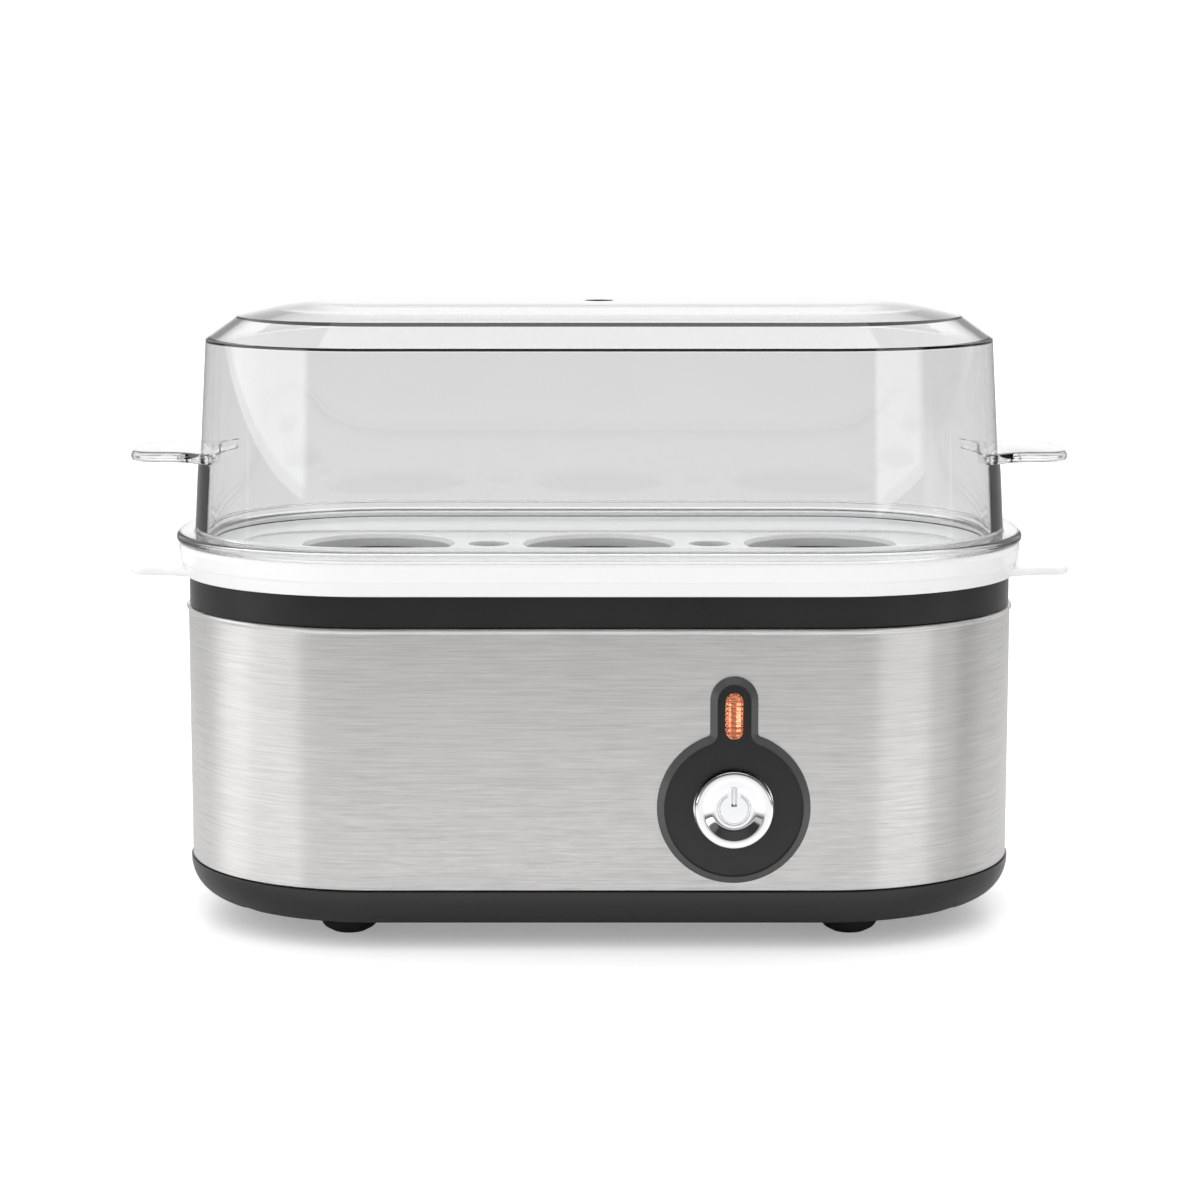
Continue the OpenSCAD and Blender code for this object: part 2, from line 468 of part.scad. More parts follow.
// ---- egg tray ----
module tray_tab() {
    z = z1 + 7.2;
    translate([cw / 2 + R - 2, -tray_tab_d / 2, z]) cube([tab_reach - cw / 2 - R + 2 - 8, tray_tab_d, 1.8]);
    translate([tab_reach - 8.01, -tray_tab_d / 2 + 8, z]) cube([8.01, tray_tab_d - 16, 1.8]);
    for (s = [-1, 1]) translate([tab_reach - 8, s * (tray_tab_d / 2 - 8), z]) cylinder(h = 1.8, r = 8);
}
module egg_tray() color("#f4f4f2") difference() {
    union() {
        rr([[0, z1 + 10.9], [R - 3.6, z1 + 10.9], [R - 3.6, z1 + 7.5], [R - 2.6, z1 + 7.5], [R - 2.6, z1 + 8.8],
            [R, z1 + 8.8], [R, z1 + 7], [R + 0.8, z1 + 7], [R + 1.1, z1 + 7.6], [R + 1.5, z1 + 9.8],
            [R + 1.95, z1 + 12.6], [R + 1.9, z1 + 13.5], [R + 1.4, z1 + 14], [R - 2.1, z1 + 14], [R - 2.5, z1 + 13.6],
            [R - 2.5, z1 + 12.7], [0, z1 + 12.7]], cw, cd, z1 + 10.9, z1 + 12.7);
        for (s = [0, 1]) mirror([s, 0, 0]) difference() {
            tray_tab();
            rr([[0, z1 + 5], [R + 0.3, z1 + 5], [R + 0.3, z1 + 10], [0, z1 + 10]], cw, cd, z1 + 5, z1 + 10);
        }
        for (i = [-1:1]) translate([i * egg_pitch, 0, z1 + 9.4]) cylinder(h = 2.6, r = seat_r + 1.6);
    }
    // shallow racetrack recess around the seats
    rr([[0, z1 + 12.2], [18, z1 + 12.2], [18, z1 + 14], [0, z1 + 14]], 2 * egg_pitch + 26, 4, z1 + 12.2, z1 + 14);
    for (i = [-1:1]) translate([i * egg_pitch, 0, z1]) cylinder(h = 20, r = seat_r);
    for (s = [-0.5, 0.5]) translate([s * egg_pitch, 0, z1]) cylinder(h = 20, r = steam_r);
}

// ---- lid ----
lo = [[0, ztop], [R - 26, ztop], [R - 23.7, ztop - 0.35], [R - 11.8, ztop - 2.9], [R - 4.8, ztop - 7.9],
    [R - 2.3, zlid + 2.7], [R - 1.8, zlid + 2.2], [R + 1.9, zlid + 2.2], [R + 2.35, zlid + 1.8],
    [R + 2.35, zlid + 0.4], [R + 1.9, zlid], [R - 2.8, zlid], [R - 2.8, zlid - 1.2], [0, zlid - 1.2]];
li = [[0, zlid - 3], [R - 2.3 - lid_t, zlid - 3], [R - 2.3 - lid_t, zlid + 2.2], [R - 4.8 - lid_t, ztop - 8.7],
    [R - 12.3, ztop - 4.6], [R - 24, ztop - 2.1], [R - 26, ztop - lid_t], [0, ztop - lid_t]];
module lid_tab() {
    z = zlid + 17.7;
    w = lid_tab_d / 2;
    translate([cw / 2 + R - 10, -w, z]) cube([tab_reach - cw / 2 - R + 10 - 8, 2 * w, 2.3]);
    translate([tab_reach - 8.01, -w + 8, z]) cube([8.01, 2 * w - 16, 2.3]);
    for (s = [-1, 1]) translate([tab_reach - 8, s * (w - 8), z]) cylinder(h = 2.3, r = 8);
    // widened root
    translate([0, 0, z]) linear_extrude(2.3)
        polygon([[cw / 2 + R - 9, -w - 7], [cw / 2 + R - 3.4, -w - 7], [cw / 2 + R - 1.5, -w - 3], [cw / 2 + R + 1.5, -w],
            [cw / 2 + R + 1.5, w], [cw / 2 + R - 1.5, w + 3], [cw / 2 + R - 3.4, w + 7], [cw / 2 + R - 9, w + 7]]);
}
module lid() color([0.86, 0.89, 0.9, 0.35]) difference() {
    union() {
        rr(lo, cw, cd, zlid - 1.2, ztop);
        for (s = [0, 1]) mirror([s, 0, 0]) {
            lid_tab();
            // pad standing proud of the wall between tab and flange
            intersection() {
                rr([[R - 9, zlid + 1], [R - 1.7, zlid + 1], [R - 2.4, zlid + 18], [R - 9, zlid + 18]]);
                translate([cw / 2, -lid_tab_d / 2 - 7, zlid]) cube([R + 5, lid_tab_d + 14, 19]);
            }
        }
    }
    rr(li, cw, cd, zlid - 3, ztop - lid_t);
    translate([0, 0, ztop - 8]) cylinder(h = 20, r = vent_r);
}

base_shell();
foot_front_left();
foot_front_right();
foot_rear_left();
foot_rear_right();
base_screws();
rating_plate();
sleeve_front();
sleeve_rear();
sleeve_left();
sleeve_right();
collar();
pan_seal();
heating_pan();
pan_studs();
pan_screws();
heater_plate();
heating_element();
element_insulators();
heater_nuts();
shield_spacers();
heat_shield();
shield_nuts();
thermostat_cap();
thermostat_body();
thermostat_bracket();
thermostat_nuts();
thermal_fuse();
fuse_sleeve();
fuse_clip();
fuse_screw();
control_bezel();
bezel_ring();
indicator_lens();
neon_lamp();
lamp_holder();
lamp_resistor();
power_button();
button_spring();
switch_plunger();
switch_body();
switch_terminals();
spade_sleeves();
terminal_block();
terminal_inserts();
terminal_screws();
block_screws();
live_supply_lead();
neutral_supply_lead();
live_switched_lead();
neutral_switched_lead();
fuse_leads();
lamp_leads();
earth_lead();
earth_terminal();
cord_gland();
egg_tray();
lid();
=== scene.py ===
import bpy, bmesh, json, math
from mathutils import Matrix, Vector


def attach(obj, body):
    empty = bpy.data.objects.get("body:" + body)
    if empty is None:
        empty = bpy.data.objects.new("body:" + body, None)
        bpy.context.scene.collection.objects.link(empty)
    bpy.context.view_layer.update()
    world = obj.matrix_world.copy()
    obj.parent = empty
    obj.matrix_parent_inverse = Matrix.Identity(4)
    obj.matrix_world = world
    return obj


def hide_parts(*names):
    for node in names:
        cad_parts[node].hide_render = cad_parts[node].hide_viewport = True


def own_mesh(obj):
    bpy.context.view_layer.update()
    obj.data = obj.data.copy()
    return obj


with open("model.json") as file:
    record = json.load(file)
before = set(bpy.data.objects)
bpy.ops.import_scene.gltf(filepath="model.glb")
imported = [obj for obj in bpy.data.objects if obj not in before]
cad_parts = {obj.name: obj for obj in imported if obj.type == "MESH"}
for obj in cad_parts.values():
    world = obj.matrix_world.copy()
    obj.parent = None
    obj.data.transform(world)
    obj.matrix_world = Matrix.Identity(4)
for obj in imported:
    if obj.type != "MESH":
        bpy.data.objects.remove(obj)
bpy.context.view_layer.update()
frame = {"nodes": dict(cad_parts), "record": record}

MM = 0.001
scene = bpy.context.scene

# ------------------------------------------------------------------ camera
cam_data = bpy.data.cameras.new("camera")
cam_data.sensor_width = 36.0
cam_data.lens = 94.2
cam_data.clip_start = 0.02
cam_data.clip_end = 50.0
cam = bpy.data.objects.new("camera", cam_data)
cam.location = (0.00018, -0.7028, 0.17426)
cam.rotation_euler = (math.radians(90 - 8.504), 0.0, 0.0)
scene.collection.objects.link(cam)
scene.camera = cam
scene.view_settings.view_transform = "Standard"

# ------------------------------------------------------------------ mesh helpers (millimetres in, metres out)
R = 43.0            # corner radius of the steel sleeve
CW, CD = 98.0, 8.0  # core rectangle that the plan shape grows from
YF = 47.0
Z0, Z1 = 13.0, 69.9
ZP = 61.0
ZLID = 84.1
ZTOP = 136.8
CX, CZ = 28.7, 31.4


def rounded(pts, closed=True, default_n=6):
    """Polyline of (x, y) or (x, y, radius) or (x, y, radius, segments) with its corners rounded."""
    out = []
    n = len(pts)
    for i, p in enumerate(pts):
        x, y = p[0], p[1]
        f = p[2] if len(p) > 2 else 0.0
        k = p[3] if len(p) > 3 else default_n
        if f <= 0 or (not closed and i in (0, n - 1)):
            out.append((x, y))
            continue
        a, b = pts[(i - 1) % n], pts[(i + 1) % n]
        u = Vector((a[0] - x, a[1] - y)); v = Vector((b[0] - x, b[1] - y))
        lu, lv = u.length, v.length
        u.normalize(); v.normalize()
        c = max(-1.0, min(1.0, u.dot(v)))
        ang = math.acos(c)
        if ang > math.pi - 1e-4:
            out.append((x, y)); continue
        t = f / math.tan(ang / 2)
        t = min(t, 0.499 * min(lu, lv))
        f = t * math.tan(ang / 2)
        centre = Vector((x, y)) + (u + v).normalized() * (f / math.sin(ang / 2))
        s, e = Vector((x, y)) + u * t, Vector((x, y)) + v * t
        a0 = math.atan2(s.y - centre.y, s.x - centre.x)
        a1 = math.atan2(e.y - centre.y, e.x - centre.x)
        d = (a1 - a0 + math.pi) % (2 * math.pi) - math.pi
        for j in range(k + 1):
            q = a0 + d * j / k
            out.append((centre.x + f * math.cos(q), centre.y + f * math.sin(q)))
    return out


def plan(w, d, n):
    out = []
    for q, (sx, sy) in enumerate(((1, 1), (-1, 1), (-1, -1), (1, -1))):
        for j in range(n + 1):
            a = math.radians(90 * q + 90 * j / n)
            out.append((sx * w / 2, sy * d / 2, math.cos(a), math.sin(a)))
    return out


def new_object(name, verts, faces):
    me = bpy.data.meshes.new(name)
    me.from_pydata([(x * MM, y * MM, z * MM) for x, y, z in verts], [], faces)
    me.validate()
    me.update()
    ob = bpy.data.objects.new(name, me)
    scene.collection.objects.link(ob)
    return ob


def tidy(ob, dist=1e-6):
    bm = bmesh.new(); bm.from_mesh(ob.data)
    bmesh.ops.remove_doubles(bm, verts=bm.verts, dist=dist)
    bmesh.ops.dissolve_degenerate(bm, edges=bm.edges, dist=1e-7)
    bmesh.ops.recalc_face_normals(bm, faces=bm.faces)
    bm.to_mesh(ob.data); bm.free()
    return ob


def sweep(name, prof, closed=True, core=(CW, CD), n=28):
    """Profile of (r, z) swept around the core; an open profile gets a flat cap at each end."""
    pl = plan(core[0], core[1], n)
    m, k = len(pl), len(prof)
    verts = [(cx + r * dx, cy + r * dy, z) for cx, cy, dx, dy in pl for r, z in prof]
    faces = []
    for i in range(m):
        a, b = i * k, ((i + 1) % m) * k
        for j in range(k if closed else k - 1):
            j2 = (j + 1) % k
            faces.append((a + j, b + j, b + j2, a + j2))
    if not closed:
        faces.append([i * k for i in reversed(range(m))])
        faces.append([i * k + k - 1 for i in range(m)])
    return tidy(new_object(name, verts, faces))


def lathe(name, prof, n=64, axis="z", at=(0, 0, 0)):
    """Profile of (r, h) turned about an axis; points at r = 0 close on the axis."""
    verts, faces, rows = [], [], []
    for r, h in prof:
        if r < 1e-9:
            rows.append([len(verts)]); verts.append((0, 0, h))
        else:
            rows.append(list(range(len(verts), len(verts) + n)))
            verts += [(r * math.cos(2 * math.pi * i / n), r * math.sin(2 * math.pi * i / n), h) for i in range(n)]
    pairs = list(zip(rows, rows[1:]))
    if prof[0][0] > 1e-9:
        pairs.append((rows[-1], rows[0]))
    for a, b in pairs:
        for i in range(n):
            j = (i + 1) % n
            f = []
            f += [a[i], a[j]] if len(a) > 1 else [a[0]]
            f += [b[j], b[i]] if len(b) > 1 else [b[0]]
            if len(f) > 2:
                faces.append(f)
    if axis == "-y":
        verts = [(x, -z, y) for x, y, z in verts]
    elif axis == "y":
        verts = [(x, z, -y) for x, y, z in verts]
    elif axis == "x":
        verts = [(z, y, -x) for x, y, z in verts]
    verts = [(x + at[0], y + at[1], z + at[2]) for x, y, z in verts]
    return tidy(new_object(name, verts, faces))


def loft(name, rows):
    """Closed outlines of equal length, joined in turn and capped at both ends."""
    k = len(rows[0])
    verts = [p for row in rows for p in row]
    faces = []
    for i in range(len(rows) - 1):
        for j in range(k):
            j2 = (j + 1) % k
            faces.append((i * k + j, i * k + j2, (i + 1) * k + j2, (i + 1) * k + j))
    faces.append(list(reversed(range(k))))
    faces.append([(len(rows) - 1) * k + j for j in range(k)])
    return tidy(new_object(name, verts, faces))


def boolean(ob, other, op="DIFFERENCE"):
    m = ob.modifiers.new("b", "BOOLEAN")
    m.operation = op
    m.solver = "EXACT"
    m.object = other
    dg = bpy.context.evaluated_depsgraph_get()
    me = bpy.data.meshes.new_from_object(ob.evaluated_get(dg))
    ob.modifiers.clear()
    old = ob.data
    name = old.name
    ob.data = me
    bpy.data.meshes.remove(old)
    me.name = name
    bpy.data.objects.remove(other, do_unlink=True)
    return ob


def shade(ob, angle=32, bevel=0.0, segs=2):
    me = ob.data
    me.polygons.foreach_set("use_smooth", [True] * len(me.polygons))
    me.set_sharp_from_angle(angle=math.radians(angle))
    if bevel:
        b = ob.modifiers.new("edge", "BEVEL")
        b.width = bevel * MM
        b.segments = segs
        b.limit_method = "ANGLE"
        b.angle_limit = math.radians(angle)
        b.use_clamp_overlap = True
        b.miter_outer = "MITER_ARC"
    w = ob.modifiers.new("normals", "WEIGHTED_NORMAL")
    w.mode = "FACE_AREA"
    w.keep_sharp = True
    return ob


def piece(ob, mat, body, nodes=(), angle=32, bevel=0.0, segs=2):
    ob.data.materials.clear()
    ob.data.materials.append(mat)
    shade(ob, angle, bevel, segs)
    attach(ob, body)
    if nodes:
        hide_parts(*nodes)
    return ob


def cylinder(name, r, h, at, axis="z", n=64):
    return lathe(name, [(0, 0), (r, 0), (r, h), (0, h)], n, axis, at)


def block(name, lo, hi):
    (a, b, c), (d, e, f) = lo, hi
    v = [(a, b, c), (d, b, c), (d, e, c), (a, e, c), (a, b, f), (d, b, f), (d, e, f), (a, e, f)]
    return new_object(name, v, [(0, 3, 2, 1), (4, 5, 6, 7), (0, 1, 5, 4), (1, 2, 6, 5), (2, 3, 7, 6), (3, 0, 4, 7)])


def capsule_outline(cx, za, zb, r, n=20):
    """Upright capsule outline in x and z."""
    out = [(cx + r * math.cos(math.pi * j / n), zb - r + r * math.sin(math.pi * j / n)) for j in range(n + 1)]
    out += [(cx - r * math.cos(math.pi * j / n), za + r - r * math.sin(math.pi * j / n)) for j in range(n + 1)]
    return out


def front_loft(name, rows):
    """rows of (outline in x and z, y), from back to front"""
    return loft(name, [[(x, y, z) for x, z in o] for o, y in rows])


# ------------------------------------------------------------------ materials
def tree(name):
    m = bpy.data.materials.new(name)
    m.use_nodes = True
    nt = m.node_tree
    nt.nodes.clear()
    out = nt.nodes.new("ShaderNodeOutputMaterial")
    p = nt.nodes.new("ShaderNodeBsdfPrincipled")
    nt.links.new(p.outputs[0], out.inputs[0])
    return m, nt, p, out


def coords(nt, scale=(1, 1, 1)):
    tc = nt.nodes.new("ShaderNodeTexCoord")
    mp = nt.nodes.new("ShaderNodeMapping")
    mp.inputs["Scale"].default_value = scale
    nt.links.new(tc.outputs["Object"], mp.inputs["Vector"])
    return mp.outputs["Vector"]


def noise(nt, vec, scale, detail=3.0, rough=0.5):
    n = nt.nodes.new("ShaderNodeTexNoise")
    n.inputs["Scale"].default_value = scale
    n.inputs["Detail"].default_value = detail
    n.inputs["Roughness"].default_value = rough
    nt.links.new(vec, n.inputs["Vector"])
    return n.outputs["Fac"]


def ramp(nt, fac, stops):
    r = nt.nodes.new("ShaderNodeValToRGB")
    el = r.color_ramp.elements
    while len(el) > 1:
        el.remove(el[-1])
    el[0].position = stops[0][0]
    el[0].color = (*stops[0][1], 1)
    for pos, col in stops[1:]:
        e = el.new(pos)
        e.color = (*col, 1)
    nt.links.new(fac, r.inputs["Fac"])
    return r.outputs["Color"]


def span(nt, fac, lo, hi, a=0.3, b=0.7):
    m = nt.nodes.new("ShaderNodeMapRange")
    m.inputs["From Min"].default_value = a
    m.inputs["From Max"].default_value = b
    m.inputs["To Min"].default_value = lo
    m.inputs["To Max"].default_value = hi
    nt.links.new(fac, m.inputs["Value"])
    return m.outputs["Result"]


def bump(nt, height, strength, distance, p, normal=None):
    b = nt.nodes.new("ShaderNodeBump")
    b.inputs["Strength"].default_value = strength
    b.inputs["Distance"].default_value = distance
    nt.links.new(height, b.inputs["Height"])
    if normal is not None:
        nt.links.new(normal, b.inputs["Normal"])
    nt.links.new(b.outputs["Normal"], p.inputs["Normal"])
    return b.outputs["Normal"]


def tint(c, k):
    return tuple(min(1.0, max(0.0, x * k)) for x in c)


def general(name, color, rough, metal=0.0, vary=0.06, vary_scale=60, grain=900, grain_strength=0.12,
            grain_depth=0.00004, rough_vary=0.05, stretch=(1, 1, 1), spec=0.5, coat=0.0, sss=0.0):
    """Moulded, cast or plated surface: colour drift, roughness drift and a fine grain."""
    m, nt, p, out = tree(name)
    v = coords(nt, stretch)
    big = noise(nt, v, vary_scale, 4, 0.55)
    fine = noise(nt, v, grain, 2, 0.6)
    nt.links.new(ramp(nt, big, [(0.3, tint(color, 1 - vary)), (0.7, tint(color, 1 + vary))]), p.inputs["Base Color"])
    nt.links.new(span(nt, big, rough - rough_vary, rough + rough_vary), p.inputs["Roughness"])
    p.inputs["Metallic"].default_value = metal
    p.inputs["Specular IOR Level"].default_value = spec
    if coat:
        p.inputs["Coat Weight"].default_value = coat
        p.inputs["Coat Roughness"].default_value = 0.06
    if sss:
        p.inputs["Subsurface Weight"].default_value = sss
        p.inputs["Subsurface Radius"].default_value = (0.004, 0.004, 0.0035)
        p.inputs["Subsurface Scale"].default_value = 1.0
    bump(nt, fine, grain_strength, grain_depth, p)
    return m


def steel(name, color, rough, aniso=0.75, long=90, thin=2600, contrast=0.055):
    """Sheet steel brushed along its length: fine streaks in colour, roughness and height."""
    m, nt, p, out = tree(name)
    va = coords(nt, (long, long, thin))
    vb = coords(nt, (long * 0.5, long * 0.5, thin * 0.55))
    vc = coords(nt, (long * 2.6, long * 2.6, thin * 2.1))
    a = noise(nt, va, 1.0, 3, 0.6)
    b = noise(nt, vb, 1.0, 2, 0.5)
    c = noise(nt, vc, 1.0, 2, 0.5)
    mx = nt.nodes.new("ShaderNodeMath"); mx.operation = "MULTIPLY_ADD"
    mx.inputs[1].default_value = 0.42
    nt.links.new(b, mx.inputs[0])
    half = nt.nodes.new("ShaderNodeMath"); half.operation = "MULTIPLY"; half.inputs[1].default_value = 0.58
    nt.links.new(a, half.inputs[0])
    nt.links.new(half.outputs[0], mx.inputs[2])
    mix = mx.outputs[0]
    nt.links.new(ramp(nt, mix, [(0.36, tint(color, 1 - contrast)), (0.5, color), (0.64, tint(color, 1 + contrast))]),
                 p.inputs["Base Color"])
    nt.links.new(span(nt, c, rough - 0.06, rough + 0.06), p.inputs["Roughness"])
    p.inputs["Metallic"].default_value = 1.0
    p.inputs["Anisotropic"].default_value = aniso
    p.inputs["Anisotropic Rotation"].default_value = 0.25
    tan = nt.nodes.new("ShaderNodeTangent")
    tan.direction_type = "RADIAL"
    tan.axis = "Z"
    nt.links.new(tan.outputs[0], p.inputs["Tangent"])
    bump(nt, mix, 0.06, 0.00003, p)
    return m


def clear(name, color, rough=0.015, ior=1.52, wobble=0.0, shadow=(0.93, 0.94, 0.945), ribs=False):
    """Clear moulding; lamps reach what is under it."""
    m, nt, p, out = tree(name)
    v = coords(nt)
    big = noise(nt, v, 35, 2, 0.5)
    nt.links.new(ramp(nt, big, [(0.3, tint(color, 0.992)), (0.7, color)]), p.inputs["Base Color"])
    fine = noise(nt, v, 420, 2, 0.5)
    nt.links.new(span(nt, fine, rough * 0.7, rough * 1.3), p.inputs["Roughness"])
    p.inputs["Transmission Weight"].default_value = 1.0
    p.inputs["IOR"].default_value = ior
    if wobble:
        bump(nt, big, wobble, 0.0006, p)
    if ribs:
        wv = nt.nodes.new("ShaderNodeTexWave")
        wv.bands_direction = "Z"
        wv.inputs["Scale"].default_value = 300
        wv.inputs["Distortion"].default_value = 0.6
        nt.links.new(v, wv.inputs["Vector"])
        bump(nt, wv.outputs["Fac"], 0.7, 0.0004, p)
    tr = nt.nodes.new("ShaderNodeBsdfTransparent")
    tr.inputs["Color"].default_value = (*shadow, 1)
    lp = nt.nodes.new("ShaderNodeLightPath")
    mixs = nt.nodes.new("ShaderNodeMixShader")
    nt.links.new(lp.outputs["Is Shadow Ray"], mixs.inputs[0])
    nt.links.new(p.outputs[0], mixs.inputs[1])
    nt.links.new(tr.outputs[0], mixs.inputs[2])
    nt.links.new(mixs.outputs[0], out.inputs[0])
    return m


def glow(name, color, strength, dark):
    """Lit neon, with the gas's uneven glow."""
    m, nt, p, out = tree(name)
    v = coords(nt)
    n = noise(nt, v, 900, 2, 0.5)
    nt.links.new(ramp(nt, n, [(0.3, dark), (0.7, color)]), p.inputs["Base Color"])
    nt.links.new(ramp(nt, n, [(0.3, dark), (0.65, color)]), p.inputs["Emission Color"])
    p.inputs["Emission Strength"].default_value = strength
    p.inputs["Roughness"].default_value = 0.3
    return m


def rim_with_painted_highlight(name, face, rim, rough, spec):
    """Gloss face with a chamfer round it that takes a lighter colour as a painted highlight, told apart by how far the
    surface turns from the front.
    """
    m, nt, p, out = tree(name)
    v = coords(nt)
    drift = noise(nt, v, 90, 3)
    tc = nt.nodes.new("ShaderNodeTexCoord")
    sp = nt.nodes.new("ShaderNodeSeparateXYZ")
    nt.links.new(tc.outputs["Normal"], sp.inputs[0])
    ab = nt.nodes.new("ShaderNodeMath"); ab.operation = "ABSOLUTE"
    nt.links.new(sp.outputs["Y"], ab.inputs[0])
    # painted highlight: where the surface turns partly away from the front, the chamfer takes the lighter rim colour
    band = ramp(nt, ab.outputs[0], [(0.0, g3(0.0)), (0.58, g3(0.0)), (0.68, g3(1.0)), (0.86, g3(1.0)), (0.95, g3(0.0)), (1.0, g3(0.0))])
    mixc = nt.nodes.new("ShaderNodeMix"); mixc.data_type = "RGBA"
    nt.links.new(band, mixc.inputs["Factor"])
    nt.links.new(ramp(nt, drift, [(0.3, tint(face, 0.96)), (0.7, tint(face, 1.04))]), mixc.inputs[6])
    nt.links.new(ramp(nt, drift, [(0.3, tint(rim, 0.96)), (0.7, tint(rim, 1.04))]), mixc.inputs[7])
    nt.links.new(mixc.outputs[2], p.inputs["Base Color"])
    nt.links.new(span(nt, drift, rough - 0.04, rough + 0.04), p.inputs["Roughness"])
    p.inputs["Specular IOR Level"].default_value = spec
    bump(nt, noise(nt, v, 2600, 2, 0.6), 0.05, 0.00002, p)
    return m


def g3(v):
    return (v, v, v)


def woven(name, color):
    m, nt, p, out = tree(name)
    v = coords(nt, (1, 1, 1))
    w1 = nt.nodes.new("ShaderNodeTexWave"); w1.inputs["Scale"].default_value = 900; w1.bands_direction = "DIAGONAL"
    nt.links.new(v, w1.inputs["Vector"])
    n = noise(nt, v, 400, 3)
    nt.links.new(ramp(nt, n, [(0.3, tint(color, 0.85)), (0.7, color)]), p.inputs["Base Color"])
    p.inputs["Roughness"].default_value = 0.85
    bump(nt, w1.outputs["Fac"], 0.5, 0.0002, p)
    return m


MAT = {
    "dark_plastic": general("dark_plastic", (0.010, 0.010, 0.0105), 0.31, spec=0.42, vary=0.05, grain=2600, grain_strength=0.10, grain_depth=0.00003),
    # bezel plastic: the lighter chamfer colour is a painted highlight
    "bezel_plastic": rim_with_painted_highlight("bezel_plastic", (0.007, 0.007, 0.0074), (0.062, 0.062, 0.063), 0.33, 0.42),
    "foot_rubber": general("foot_rubber", (0.016, 0.016, 0.017), 0.6, grain=1500, grain_strength=0.25, spec=0.35),
    "zinc_steel": general("zinc_steel", (0.62, 0.63, 0.64), 0.3, metal=1.0, vary=0.08, vary_scale=300, grain=1800, grain_strength=0.08),
    "label_aluminium": general("label_aluminium", (0.66, 0.67, 0.68), 0.35, metal=1.0, vary=0.04, stretch=(0.08, 1, 1), grain=2400, grain_strength=0.12),
    "brushed_steel": steel("brushed_steel", (0.74, 0.735, 0.725), 0.36, aniso=0.95, long=110, thin=4600, contrast=0.105),
    "silicone": general("silicone", (0.5, 0.52, 0.55), 0.65, grain=900, sss=0.1),
    "pan_steel": steel("pan_steel", (0.55, 0.55, 0.55), 0.34, aniso=0.4, long=60, thin=900, contrast=0.05),
    "cast_aluminium": general("cast_aluminium", (0.55, 0.555, 0.56), 0.45, metal=1.0, vary=0.1, grain=1400, grain_strength=0.35),
    "element_steel": general("element_steel", (0.17, 0.145, 0.12), 0.4, metal=1.0, vary=0.25, vary_scale=90, grain=1600),
    "ceramic_white": general("ceramic_white", (0.82, 0.79, 0.72), 0.5, vary=0.04, grain=1800, grain_strength=0.2),
    "shield_steel": steel("shield_steel", (0.58, 0.58, 0.58), 0.35, aniso=0.3, long=120, thin=1400),
    "phenolic": general("phenolic", (0.03, 0.027, 0.025), 0.4, vary=0.12, grain=1500),
    "brass_parts": general("brass_parts", (0.72, 0.54, 0.24), 0.28, metal=1.0, vary=0.08, vary_scale=250),
    "sleeve_fabric": woven("sleeve_fabric", (0.78, 0.74, 0.62)),
    "natural_nylon": general("natural_nylon", (0.76, 0.75, 0.7), 0.45, vary=0.03, grain=1300, sss=0.1),
    "resistor_body": general("resistor_body", (0.6, 0.42, 0.22), 0.4, vary=0.1),
    "chrome_button": general("chrome_button", (0.76, 0.765, 0.77), 0.07, metal=1.0, vary=0.015, rough_vary=0.015, grain=1200, grain_strength=0.015, grain_depth=0.00002),
    "spring_steel": general("spring_steel", (0.5, 0.51, 0.52), 0.25, metal=1.0),
    "sleeve_pvc": general("sleeve_pvc", (0.8, 0.8, 0.78), 0.3),
    "wire_brown": general("wire_brown", (0.2, 0.09, 0.04), 0.35),
    "wire_blue": general("wire_blue", (0.04, 0.14, 0.5), 0.35),
    "wire_red": general("wire_red", (0.55, 0.06, 0.04), 0.35),
    "wire_white": general("wire_white", (0.75, 0.75, 0.72), 0.35),
    "wire_green": general("wire_green", (0.12, 0.42, 0.08), 0.35),
    "white_plastic": general("white_plastic", (0.86, 0.86, 0.855), 0.16, vary=0.008, grain=700, grain_strength=0.04, rough_vary=0.03, sss=0.15),
    "clear_plastic": clear("clear_plastic", (0.93, 0.933, 0.933)),
    "lens_clear": clear("lens_clear", (0.95, 0.68, 0.57), 0.04, 1.5, ribs=True, shadow=(1, 0.8, 0.65)),
    "neon_glow": glow("neon_glow", (1.0, 0.60, 0.40), 2.1, (0.8, 0.2, 0.07)),
}

# every carried-over CAD node takes its slot's procedural material
SLOTS = {s["node"]: s["material_slot"] for s in frame["record"]["subparts"]}
for name, ob in frame["nodes"].items():
    mat = MAT.get(SLOTS.get(name))
    if mat is not None:
        if ob.material_slots:
            for s in ob.material_slots:
                s.material = mat
        else:
            ob.data.materials.append(mat)

# ------------------------------------------------------------------ bottom shell
base_outer = [(36.2 + 7.2 * math.cos(math.radians(a)), Z0 - 0.35 - 7.95 * math.sin(math.radians(a))) for a in range(90, -1, -6)]
base_prof = [(30.0, 4.7)] + base_outer + rounded([(43.4, Z0 - 0.35), (43.4, Z0, 0.34), (42.2, Z0), (42.2, Z0 + 7, 0.3), (40.2, Z0 + 7, 0.3), (40.2, Z0)], False, 5)[1:] + \
    [(34.2 + 6.0 * math.cos(math.radians(a)), Z0 - 6.1 * math.sin(math.radians(a))) for a in range(9, 91, 9)] + [(30.0, 6.9)]
base = sweep("bottom_shell", base_prof, False)
PX, PY = CW / 2 + 36.5 * 0.7071, CD / 2 + 36.5 * 0.7071
for sx in (-1, 1):
    for sy in (-1, 1):
        boss = cylinder("boss", 4.6, 7.2, (sx * PX, sy * PY, 6.8), n=40)
        base = boolean(base, boss, "UNION")
        base = boolean(base, cylinder("c", 3.4, 7.5, (sx * PX, sy * PY, 3.0), n=40))
        base = boolean(base, cylinder("c", 1.7, 14, (sx * PX, sy * PY, 3.5), n=32))
        base = boolean(base, cylinder("c", 3.0, 5, (sx * 55, sy * 28, 3.0), n=40))
